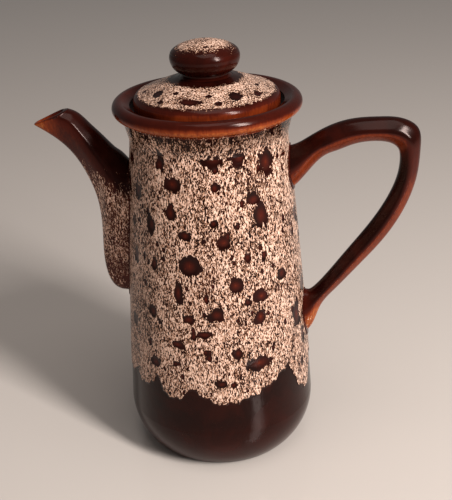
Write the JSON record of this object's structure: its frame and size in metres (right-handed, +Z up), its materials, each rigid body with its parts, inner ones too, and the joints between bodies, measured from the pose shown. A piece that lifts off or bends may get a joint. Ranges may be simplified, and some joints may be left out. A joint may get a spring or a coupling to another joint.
{
  "type": "lidded coffee pot",
  "caption": "Tall tapered stoneware pot with a flared rim, drop-in knobbed lid, rising spout and loop handle, brown glazed with a speckled pale second glaze.",
  "frame": {"origin": "on the barrel's axis, in the plane of the foot ring that the pot stands on", "axes": "+Z up along the barrel's axis, +X towards the handle, -X towards the spout"},
  "size_m": [0.2135, 0.109, 0.24],
  "materials": {
    "brown_glaze": "gloss",
    "honeycomb_glaze": "satin gloss"
  },
  "bodies": {
    "pot": {"pot_body": "brown_glaze", "spout": "brown_glaze", "spout_luting": "brown_glaze", "handle": "brown_glaze", "handle_upper_luting": "brown_glaze", "handle_lower_luting": "brown_glaze", "glaze_coat_body": "honeycomb_glaze", "glaze_coat_spout": "honeycomb_glaze"},
    "lid": {"lid": "brown_glaze", "lid_knob": "brown_glaze", "knob_luting": "brown_glaze", "glaze_coat_lid": "honeycomb_glaze", "glaze_coat_knob": "honeycomb_glaze"}
  },
  "joints": [
    {"name": "lid_lift", "type": "slide", "parent": "pot", "child": "lid", "axis": [0, 0, 1], "range_m": [0, 0.09]}
  ]
}
